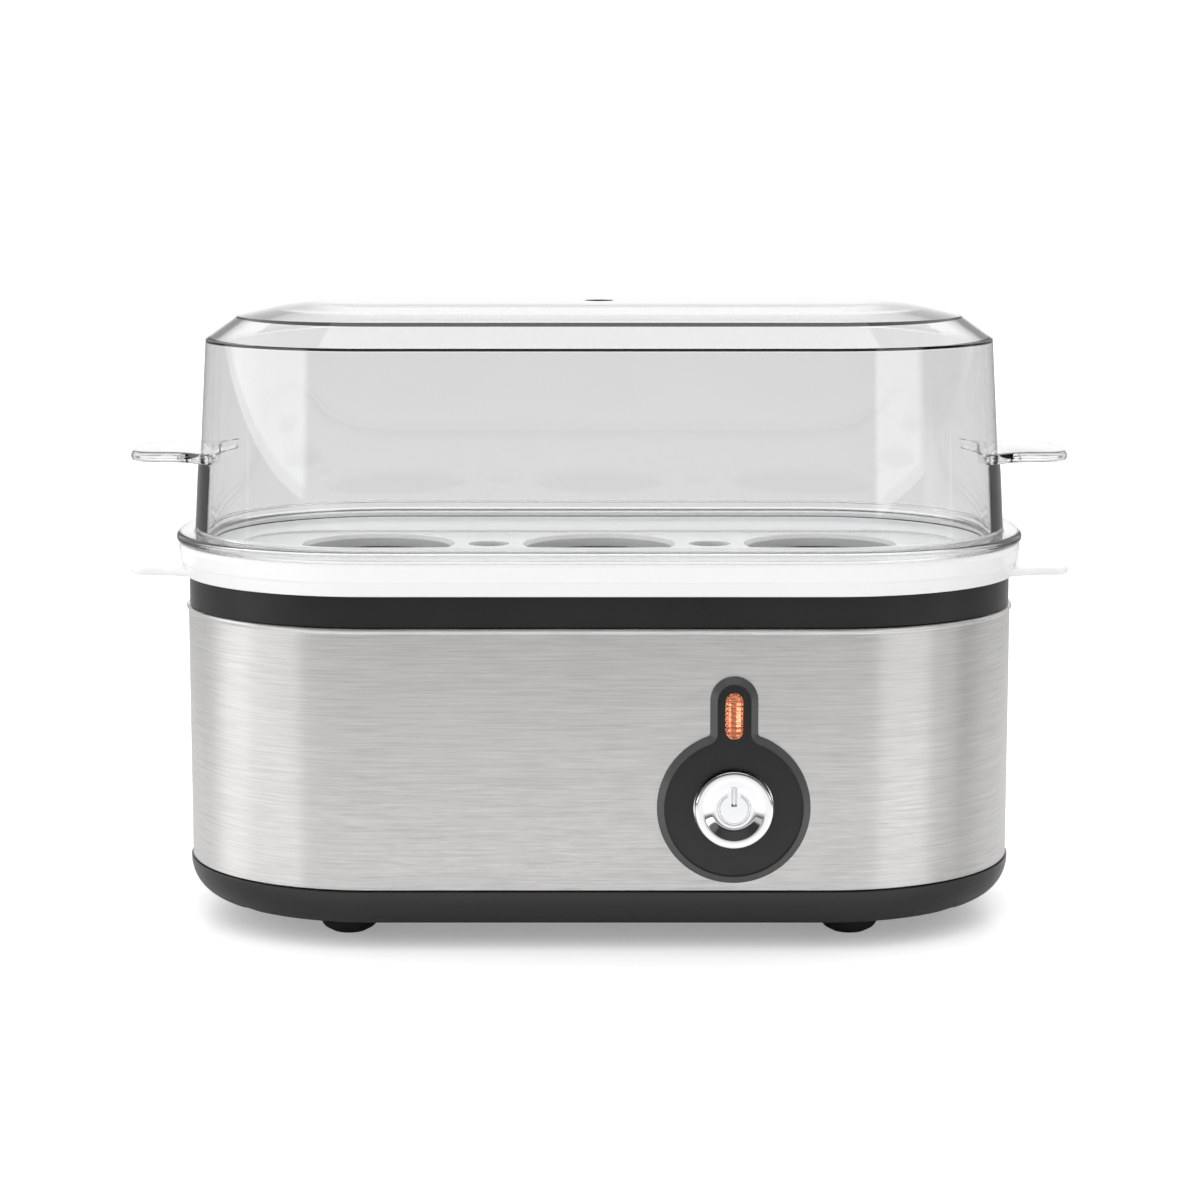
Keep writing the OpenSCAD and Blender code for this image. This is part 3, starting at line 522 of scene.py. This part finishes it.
base = boolean(base, block("c", (-24.2, -13.2, 3.7), (24.2, 13.2, 5.2)))
for s in (-1, 1):
    for i in range(-2, 3):
        x = s * 37 + i * 4.4
        o = rounded([(x - 1, -8, 0.95), (x + 1, -8, 0.95), (x + 1, 8, 0.95), (x - 1, 8, 0.95)], True, 6)
        base = boolean(base, loft("c", [[(a, b, z) for a, b in o] for z in (3.7, 8.0)]))
piece(base, MAT["dark_plastic"], "base", ["base_shell"], angle=35)

for nm, sx, sy in (("foot_front_left", -1, -1), ("foot_front_right", 1, -1), ("foot_rear_left", -1, 1), ("foot_rear_right", 1, 1)):
    pr = rounded([(0, 0), (3.6, 0, 0.9), (5.6, 1.1, 2.2), (6.85, 3.3, 1.6), (6.9, 4.65, 0.25), (2.95, 4.65), (2.95, 6.95), (4.0, 6.95, 0.2), (3.2, 8.6, 0.6), (0, 8.6)], False, 6)
    piece(lathe("pad_" + nm, pr, 56, "z", (sx * 55, sy * 28, 0)), MAT["foot_rubber"], "base", [nm])

# ------------------------------------------------------------------ steel sleeve
sleeve_prof = rounded([(42.4, 13.2), (43.0, 13.2, 0.25), (43.0, 69.0, 0.5), (43.4, 69.3, 0.3), (43.4, 69.9, 0.28), (41.7, 69.9, 0.2), (41.7, 69.3),
                       (42.4, 69.3, 0.3)], True, 5)
sleeve = sweep("sleeve", sleeve_prof, True, n=36)
sleeve = boolean(sleeve, cylinder("c", 12.6, 6, (CX, -YF - 2, CZ), "y", 72))
sleeve = boolean(sleeve, front_loft("c", [(capsule_outline(CX, 45.3, 57.4, 2.9), -YF + 2), (capsule_outline(CX, 45.3, 57.4, 2.9), -YF - 2)]))
sleeve = boolean(sleeve, cylinder("c", 5.2, 8, (-30, YF - 4, 27), "y", 48))
piece(sleeve, MAT["brushed_steel"], "base", ["sleeve_front", "sleeve_rear", "sleeve_left", "sleeve_right"], angle=40)

# ------------------------------------------------------------------ collar
collar_prof = rounded([(41.4, 62.0, 0.3), (41.4, 70.1), (42.7, 70.1, 0.25), (42.7, 78.5, 0.6), (40.7, 78.5, 0.3), (40.7, 75.0, 0.3), (32.6, 75.0, 0.3),
                       (32.6, 73.0, 0.3), (39.4, 73.0, 0.5), (39.4, 62.0, 0.3)], True, 4)
collar = sweep("collar_ring", collar_prof, True, n=32)
for sx in (-1, 1):
    for sy in (-1, 1):
        collar = boolean(collar, cylinder("c", 3.3, 59.7, (sx * PX, sy * PY, 14.0), n=36), "UNION")
        collar = boolean(collar, cylinder("c", 3.0, 6.6, (sx * 24, sy * 40.5, 67.4), n=36), "UNION")
        collar = boolean(collar, cylinder("c", 1.35, 32, (sx * PX, sy * PY, 0.0), n=24))
        collar = boolean(collar, cylinder("c", 1.3, 12, (sx * 24, sy * 40.5, 68.2), n=24))
piece(collar, MAT["dark_plastic"], "base", ["collar"], angle=35)

# ------------------------------------------------------------------ water pan
pan_prof = rounded([(20, 61.0), (30.4, 61.0, 2.6), (31.8, 63.6, 1.5), (31.8, 75.6, 0.5), (40.2, 75.6), (40.2, 76.4, 0.35), (31.0, 76.4, 1.1), (31.0, 63.4, 1.6),
                    (29.8, 61.8, 2.2), (20, 61.8)], False, 6)
pan = sweep("water_pan", pan_prof, False, n=28)
for sx in (-1, 1):
    for sy in (-1, 1):
        pan = boolean(pan, cylinder("c", 1.6, 4, (sx * 24, sy * 40.5, 74.0), n=28))
piece(pan, MAT["pan_steel"], "base", ["heating_pan"], angle=40)

# ------------------------------------------------------------------ bezel, lens, lamp and button
def keyhole(g, n=64):
    """Keyhole outline shrunk by g, counter-clockwise in x and z from the neck's right foot."""
    rr, w = 16.4 - g, 5.1 - g
    zt = 54.65
    f = 0.9 + g                       # inside corner where the neck meets the disc
    # centre of the inside-corner arc: tangent to the neck's side and to the disc
    fx = w + f
    fz = math.sqrt((rr + f) ** 2 - fx ** 2)
    a_disc = math.atan2(fz, fx)
    pts = []
    start, end = a_disc, -math.pi - a_disc
    for j in range(n + 1):
        a = start + (end - start) * j / n
        pts.append((rr * math.cos(a), rr * math.sin(a)))
    k = 8
    for j in range(1, k + 1):         # left inside corner
        a0 = -a_disc
        a = a0 + (0 - a0) * j / k
        pts.append((-fx + f * math.cos(a), fz + f * math.sin(a)))
    top = zt - CZ
    m = 24
    for j in range(m + 1):            # over the top of the neck
        a = math.pi - math.pi * j / m
        pts.append((w * math.cos(a), top + w * math.sin(a)))
    for j in range(0, k):             # right inside corner
        a = math.pi + a_disc * j / k
        pts.append((fx + f * math.cos(a), fz + f * math.sin(a)))
    return [(CX + x, CZ + z) for x, z in reversed(pts)]


bez_rows = [(keyhole(0.0), -47.0), (keyhole(0.0), -47.2), (keyhole(0.04), -47.28), (keyhole(0.14), -47.36), (keyhole(1.38), -48.30), (keyhole(1.5), -48.38),
            (keyhole(1.62), -48.42), (keyhole(1.72), -48.40), (keyhole(1.77), -48.3), (keyhole(1.79), -48.1), (keyhole(1.86), -48.05)]
bez = front_loft("bezel", bez_rows)
bez = boolean(bez, cylinder("c", 12.4, 10.0, (CX, -48.0, CZ), "y", 96), "UNION")
for s in (-1, 1):
    a, b = sorted((CX + s * 10.3, CX + s * 11.9))
    bez = boolean(bez, block("c", (a, -38.5, CZ - 4), (b, -20.9, CZ + 4)), "UNION")
    a, b = sorted((CX + s * 9.4, CX + s * 11.8))
    bez = boolean(bez, block("c", (a, -22.1, CZ - 4), (b, -20.95, CZ + 4)), "UNION")
bez = boolean(bez, cylinder("c", 8.62, 10, (CX, -50.0, CZ), "y", 96))
bez = boolean(bez, cylinder("c", 10.0, 7.1, (CX, -45.0, CZ), "y", 96))
bez = boolean(bez, front_loft("c", [(capsule_outline(CX, 46.3, 56.4, 1.9), -44), (capsule_outline(CX, 46.3, 56.4, 1.9), -50)]))
piece(bez, MAT["bezel_plastic"], "base", ["control_bezel"], angle=38)

def cap_rows(za, zb, r):
    rows = [(capsule_outline(CX, za - 0.85, zb + 0.85, r + 0.85), -45.85), (capsule_outline(CX, za - 0.85, zb + 0.85, r + 0.85), -46.95),
            (capsule_outline(CX, za, zb, r), -46.98), (capsule_outline(CX, za, zb, r), -48.15)]
    for j in range(1, 7):
        a = math.radians(90 * j / 7)
        g = (1 - math.cos(a)) * 0.75
        rows.append((capsule_outline(CX, za + g, zb - g, r - g), -48.15 - 0.72 * math.sin(a)))
    return rows


piece(front_loft("lens_window", cap_rows(46.42, 56.28, 1.78)), MAT["lens_clear"], "base", ["indicator_lens"], angle=50)

tube = rounded([(0, 46.6), (1.6, 46.6, 0.5), (2.1, 47.2, 0.6), (2.1, 54.2, 1.6), (0.9, 55.6, 0.4), (0, 55.7)], False, 5)
lamp_glass = clear("lamp_tube", (1.0, 0.9, 0.82), 0.02, 1.47, shadow=(1, 0.85, 0.7))
lamp = lathe("neon_tube", tube, 32, "z", (CX, -42.6, 0))
piece(lamp, lamp_glass, "base", ["neon_lamp"], angle=60)
for s in (-1, 1):
    rod = lathe("neon_electrode_" + ("left" if s < 0 else "right"), rounded([(0, 47.6), (0.42, 47.6, 0.15), (0.42, 53.6, 0.3), (0, 53.6)], False, 4), 20, "z", (CX + s * 0.85, -42.9, 0))
    piece(rod, MAT["neon_glow"], "base", angle=50)

# chrome button: rim, shallow dish, engraved standby mark, rear flange and stem
br = 8.35
dish = [(br, 6.1)] + [(br - 0.5 + 0.5 * math.cos(math.radians(q)), 6.2 + 0.46 * math.sin(math.radians(q))) for q in range(0, 91, 15)]
dish += rounded([(7.7, 6.68), (6.55, 6.64, 1.3, 12), (4.45, 5.76, 2.6, 14), (0, 5.72)], False)
btn_prof = [(0, -4.9), (2.3, -4.9), (2.4, -4.8), (2.4, 4.5), (6.8, 4.5), (6.8, 0.0), (9.5, 0.0), (9.6, 0.1), (9.6, 1.5), (br, 1.5)] + dish
btn = lathe("button_cap", btn_prof, 96, "-y", (CX, -43.4, CZ))
ring = lathe("c", rounded([(3.14, 5.34, 0.05), (3.42, 5.34, 0.05), (3.68, 5.8), (3.68, 8.0), (2.88, 8.0), (2.88, 5.8)], True, 3), 72, "-y", (CX, -43.4, CZ))
ring = boolean(ring, block("c", (CX - 1.35, -53, CZ + 0.5), (CX + 1.35, -43, CZ + 6)))
btn = boolean(btn, ring)
bars = []
for h, e, y in ((0.22, 0.95, -48.68), (0.66, 0.55, -49.17), (0.66, 0.55, -53.0)):
    bars.append((rounded([(CX - h, CZ + e, 0.2), (CX + h, CZ + e, 0.2), (CX + h, CZ + 5.5 - e, 0.2), (CX - h, CZ + 5.5 - e, 0.2)], True, 5), y))
btn = boolean(btn, front_loft("c", bars))
piece(btn, MAT["chrome_button"], "button", ["power_button"], angle=38)

# return spring, seated on the switch
wire = []
ST, SD, TURNS = 40, 10, 6
for i in range(ST * TURNS + 1):
    a = 2 * math.pi * i / ST
    ring_of = []
    for j in range(SD):
        b = 2 * math.pi * j / SD
        q = 4.4 + 0.35 * math.cos(b)
        ring_of.append((CX + q * math.cos(a), -47.45 + 9.1 * i / (ST * TURNS) + 0.35 * math.sin(b), CZ + q * math.sin(a)))
    wire.append(ring_of)
spring = loft("return_spring", wire)
piece(spring, MAT["spring_steel"], "base", ["button_spring"], angle=60)
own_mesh(spring)

# ------------------------------------------------------------------ cord gland
gl = rounded([(3.4, -4.0), (6.2, -4.0, 0.4), (6.2, -0.65, 0.3), (5.0, -0.65), (5.0, 0.05), (7.0, 0.05, 0.3), (7.0, 1.2, 0.9), (5.2, 3.1, 0.7), (3.4, 3.1, 0.4)], True, 5)
piece(lathe("gland", gl, 56, "y", (-30, YF, 27)), MAT["foot_rubber"], "base", ["cord_gland"], angle=40)

# ------------------------------------------------------------------ egg tray
tray_prof = rounded([(24, 80.8), (39.4, 80.8, 0.4), (39.4, 77.4, 0.3), (40.4, 77.4, 0.3), (40.4, 78.7, 0.2), (43.0, 78.7, 0.3), (43.0, 76.9, 0.2),
                     (43.85, 76.9, 0.3), (44.25, 79.7, 0.5), (44.55, 80.1, 0.5), (44.95, 83.0, 0.8), (44.6, 83.9, 0.5), (40.9, 83.9, 0.5), (40.4, 82.6, 0.6), (24, 82.6)], False, 5)
tray = sweep("tray", tray_prof, False, n=32)


def tab_outline(reach, half, root, flare, r=8.0):
    """Side tab seen from above, for x > 0: root x, outer reach, rounded corners, widened root."""
    pts = [(root, -half - flare), (root + 3.5, -half - flare * 0.55, 8), (root + 9.0, -half, 8), (reach, -half, r), (reach, half, r), (root + 9.0, half, 8),
           (root + 3.5, half + flare * 0.55, 8), (root, half + flare)]
    return rounded(pts, True, 8)


def tab(name, reach, half, root, flare, z0, z1, edge, side):
    rows = []
    for g, z in ((edge, z0), (edge * 0.3, z0 + edge * 0.3), (0, z0 + edge), (0, z1 - edge), (edge * 0.3, z1 - edge * 0.3), (edge, z1)):
        rows.append([(side * x, y, z) for x, y in tab_outline(reach - g, half - g, root, flare)])
    return loft(name, rows)


for s in (-1, 1):
    t = tab("c", 104.0, 16.0, 88.0, 4.0, 77.1, 78.9, 0.6, s)
    t = boolean(t, sweep("c", [(30, 74), (43.3, 74), (43.3, 82), (30, 82)], False, n=28))
    tray = boolean(tray, t, "UNION")
for i in (-1, 0, 1):
    tray = boolean(tray, cylinder("c", 18.1, 2.6, (i * 49.8, 0, 79.3), n=80), "UNION")
tray = boolean(tray, sweep("c", [(10, 82.1), (17.6, 82.1), (18.3, 84)] , False, core=(126, 4), n=24))
for i in (-1, 0, 1):
    tray = boolean(tray, lathe("c", [(0, 78), (16.5, 78), (16.5, 81.2), (17.4, 82.4), (17.4, 85), (0, 85)], 96, "z", (i * 49.8, 0, 0)))
for s in (-1, 1):
    tray = boolean(tray, lathe("c", [(0, 78), (4.4, 78), (4.4, 81.7), (4.9, 82.4), (4.9, 85), (0, 85)], 48, "z", (s * 24.9, 0, 0)))
piece(tray, MAT["white_plastic"], "tray", ["egg_tray"], angle=36, bevel=0.18)

# ------------------------------------------------------------------ lid
lid_out = rounded([(30, 82.9), (40.2, 82.9, 0.5), (40.2, 84.1, 0.3), (45.35, 84.1, 0.8), (45.35, 86.3, 1.1), (40.75, 86.3, 0.9), (38.2, 128.9, 0.3), (31.2, 133.9, 0.35),
                   (18.0, 136.75, 60.0, 14), (8, 136.8)], False, 8)
lid_in = rounded([(30, 80.0), (38.9, 80.0), (38.9, 86.3, 0.8), (36.45, 128.1, 0.25), (30.5, 132.35, 0.3), (17.6, 134.95, 60.0, 14), (8, 135.0)], False, 8)
lid = sweep("cover", lid_out, False, n=36)
for s in (-1, 1):
    rows = []
    for z, k in ((85.2, 1.0), (99.0, 1.0), (101.0, 0.9), (102.6, 0.6), (103.6, 0.2)):
        arc = []
        for q in range(-48, 49):
            t = 25.0 * q / 48                       # distance from the middle of the end, along y
            lift = 0.85 * (0.5 + 0.5 * math.cos(math.pi * t / 25.0)) * k - 0.12
            rw = 40.75 - 0.0599 * (z - 86.3) + lift
            over = max(0.0, abs(t) - CD / 2)
            a = math.asin(over / rw)
            arc.append((s * (CW / 2 + rw * math.cos(a)), math.copysign(min(abs(t), CD / 2) + rw * math.sin(a), t), z))
        rows.append([(s * (CW / 2 + 20.0), -25.0, z)] + arc + [(s * (CW / 2 + 20.0), 25.0, z)])
    pad = loft("c", rows)
    lid = boolean(lid, pad, "UNION")
    lid = boolean(lid, tab("c", 104.0, 13.5, 83.0, 10.0, 101.8, 104.1, 0.8, s), "UNION")
lid = boolean(lid, sweep("c", lid_in, False, n=36))
lid = boolean(lid, lathe("c", [(0, 128), (3.2, 128), (3.2, 140), (0, 140)], 48))
piece(lid, MAT["clear_plastic"], "lid", ["lid"], angle=40)

# ------------------------------------------------------------------ floor, light
fl, nt, p, out = tree("floor_sweep")
v = coords(nt)
nt.links.new(ramp(nt, noise(nt, v, 3, 2), [(0.3, (0.83, 0.83, 0.83)), (0.7, (0.84, 0.84, 0.84))]), p.inputs["Base Color"])
p.inputs["Roughness"].default_value = 0.3
p.inputs["Specular IOR Level"].default_value = 0.22
p.inputs["Emission Color"].default_value = (1, 1, 1, 1)
p.inputs["Emission Strength"].default_value = 0.30
# painted light on the table as the object sees it: a lit pool that falls off to the front and to the sides
xyz = nt.nodes.new("ShaderNodeSeparateXYZ")
nt.links.new(v, xyz.inputs[0])
side = nt.nodes.new("ShaderNodeMath"); side.operation = "ABSOLUTE"
nt.links.new(xyz.outputs["X"], side.inputs[0])
front_fall = ramp(nt, span(nt, xyz.outputs["Y"], 0, 1, 0.0, -1.0), [(0.0, (0.62,) * 3), (0.16, (0.64,) * 3), (0.26, (0.46,) * 3), (0.42, (0.30,) * 3), (1.0, (0.22,) * 3)])
side_fall = ramp(nt, side.outputs[0], [(0.0, (1.0,) * 3), (0.26, (1.0,) * 3), (0.34, (0.5,) * 3), (1.0, (0.42,) * 3)])
painted_light_pool = nt.nodes.new("ShaderNodeMix"); painted_light_pool.data_type = "RGBA"; painted_light_pool.blend_type = "MULTIPLY"
painted_light_pool.inputs["Factor"].default_value = 1.0
nt.links.new(front_fall, painted_light_pool.inputs[6])
nt.links.new(side_fall, painted_light_pool.inputs[7])
bounce = nt.nodes.new("ShaderNodeBsdfDiffuse")
lpt = nt.nodes.new("ShaderNodeLightPath")
even = nt.nodes.new("ShaderNodeMix"); even.data_type = "RGBA"      # through clear plastic the table is even
even.inputs[7].default_value = (0.63, 0.63, 0.63, 1)
nt.links.new(lpt.outputs["Is Transmission Ray"], even.inputs["Factor"])
nt.links.new(painted_light_pool.outputs[2], even.inputs[6])
nt.links.new(even.outputs[2], bounce.inputs["Color"])
# painted light: a glowing strip of table just in front, seen in reflections and bounce but not through clear plastic
painted_glow_strip = nt.nodes.new("ShaderNodeEmission")
nt.links.new(ramp(nt, span(nt, xyz.outputs["Y"], 0, 1, 0.0, -1.0), [(0.04, (0.0,) * 3), (0.075, (1.0,) * 3), (0.17, (1.0,) * 3), (0.27, (0.0,) * 3)]), painted_glow_strip.inputs["Color"])
fade = nt.nodes.new("ShaderNodeMath"); fade.operation = "MULTIPLY_ADD"
fade.inputs[1].default_value = -0.55
fade.inputs[2].default_value = 0.55
nt.links.new(lpt.outputs["Is Transmission Ray"], fade.inputs[0])
nt.links.new(fade.outputs[0], painted_glow_strip.inputs["Strength"])
both = nt.nodes.new("ShaderNodeAddShader")
nt.links.new(bounce.outputs[0], both.inputs[0])
nt.links.new(painted_glow_strip.outputs[0], both.inputs[1])
lpf = nt.nodes.new("ShaderNodeLightPath")
fmix = nt.nodes.new("ShaderNodeMixShader")
nt.links.new(lpf.outputs["Is Camera Ray"], fmix.inputs[0])
nt.links.new(both.outputs[0], fmix.inputs[1])
nt.links.new(p.outputs[0], fmix.inputs[2])
nt.links.new(fmix.outputs[0], out.inputs[0])
floor = new_object("floor", [(-9000, -9000, 0), (9000, -9000, 0), (9000, 9000, 0), (-9000, 9000, 0)], [(0, 1, 2, 3)])
floor.data.materials.append(fl)

world = bpy.data.worlds.new("studio")
scene.world = world
world.use_nodes = True
wt = world.node_tree
wt.nodes.clear()
wo = wt.nodes.new("ShaderNodeOutputWorld")
tc = wt.nodes.new("ShaderNodeTexCoord")
sep = wt.nodes.new("ShaderNodeSeparateXYZ")
wt.links.new(tc.outputs["Generated"], sep.inputs[0])
neg = wt.nodes.new("ShaderNodeMath"); neg.operation = "MULTIPLY"; neg.inputs[1].default_value = -1
wt.links.new(sep.outputs["Y"], neg.inputs[0])
at2 = wt.nodes.new("ShaderNodeMath"); at2.operation = "ARCTAN2"
wt.links.new(sep.outputs["X"], at2.inputs[0])
wt.links.new(neg.outputs[0], at2.inputs[1])
frac = wt.nodes.new("ShaderNodeMapRange")
frac.inputs["From Min"].default_value = -math.pi
frac.inputs["From Max"].default_value = math.pi
wt.links.new(at2.outputs[0], frac.inputs["Value"])


def around(deg):
    return (deg + 180) / 360


def g(v):
    return (v, v, v)


ring_light = ramp(wt, frac.outputs[0], [
    (around(-180), g(0.72)), (around(-168), g(0.72)), (around(-165), g(0.2)), (around(-158), g(0.25)), (around(-153), g(0.62)), (around(-118), g(0.66)),
    (around(-103), g(1.5)), (around(-47), g(1.75)), (around(-43), g(0.42)), (around(-10), g(0.45)), (around(8), g(0.43)), (around(32), g(0.34)),
    (around(35), g(1.55)), (around(64), g(1.45)), (around(69), g(0.12)), (around(98), g(0.14)), (around(118), g(0.55)), (around(153), g(0.58)),
    (around(158), g(0.25)), (around(165), g(0.2)), (around(168), g(0.72)), (around(180), g(0.72))])
high = wt.nodes.new("ShaderNodeMapRange")
high.inputs["From Min"].default_value = 0.34
high.inputs["From Max"].default_value = 0.62
wt.links.new(sep.outputs["Z"], high.inputs["Value"])
mixw = wt.nodes.new("ShaderNodeMix"); mixw.data_type = "RGBA"
wt.links.new(high.outputs[0], mixw.inputs["Factor"])
wt.links.new(ring_light, mixw.inputs[6])
mixw.inputs[7].default_value = (0.80, 0.80, 0.80, 1)
# dark ceiling above the front softboxes, seen only in reflections
lpw = wt.nodes.new("ShaderNodeLightPath")


def step(value, lo, hi):
    m = wt.nodes.new("ShaderNodeMapRange")
    m.inputs["From Min"].default_value = lo
    m.inputs["From Max"].default_value = hi
    wt.links.new(value, m.inputs["Value"])
    return m.outputs["Result"]


def times(a, b, op="MULTIPLY"):
    m = wt.nodes.new("ShaderNodeMath"); m.operation = op
    for k, v in enumerate((a, b)):
        if isinstance(v, (int, float)):
            m.inputs[k].default_value = v
        else:
            wt.links.new(v, m.inputs[k])
    return m.outputs[0]


band = times(times(step(sep.outputs["Z"], 0.11, 0.17), step(neg.outputs[0], 0.02, 0.12)), lpw.outputs["Is Glossy Ray"])
band = times(band, times(1.0, step(sep.outputs["Z"], 0.955, 0.985), "SUBTRACT"))
shade_by = times(1.0, times(band, 0.93), "SUBTRACT")
shade_by = times(shade_by, times(1.0, times(lpw.outputs["Is Diffuse Ray"], 0.0), "ADD"))
mul = wt.nodes.new("ShaderNodeVectorMath"); mul.operation = "SCALE"
wt.links.new(mixw.outputs[2], mul.inputs[0])
wt.links.new(shade_by, mul.inputs["Scale"])
studio = wt.nodes.new("ShaderNodeBackground")
wt.links.new(mul.outputs[0], studio.inputs["Color"])
studio.inputs["Strength"].default_value = 1.55
plain = wt.nodes.new("ShaderNodeBackground")
plain.inputs["Color"].default_value = (1, 1, 1, 1)
plain.inputs["Strength"].default_value = 1.05
lp = wt.nodes.new("ShaderNodeLightPath")
mx = wt.nodes.new("ShaderNodeMixShader")
wt.links.new(lp.outputs["Is Camera Ray"], mx.inputs[0])
wt.links.new(studio.outputs[0], mx.inputs[1])
wt.links.new(plain.outputs[0], mx.inputs[2])
wt.links.new(mx.outputs[0], wo.inputs[0])


def area(name, loc, target, w, h, watts):
    d = bpy.data.lights.new(name, "AREA")
    d.shape = "RECTANGLE"
    d.size, d.size_y = w, h
    d.energy = watts
    o = bpy.data.objects.new(name, d)
    o.location = loc
    o.rotation_euler = (Vector(target) - Vector(loc)).to_track_quat("-Z", "Y").to_euler()
    scene.collection.objects.link(o)
    return o


area("top_soft", (0.0, -0.1, 1.3), (0, 0, 0.05), 1.4, 1.0, 4.0)
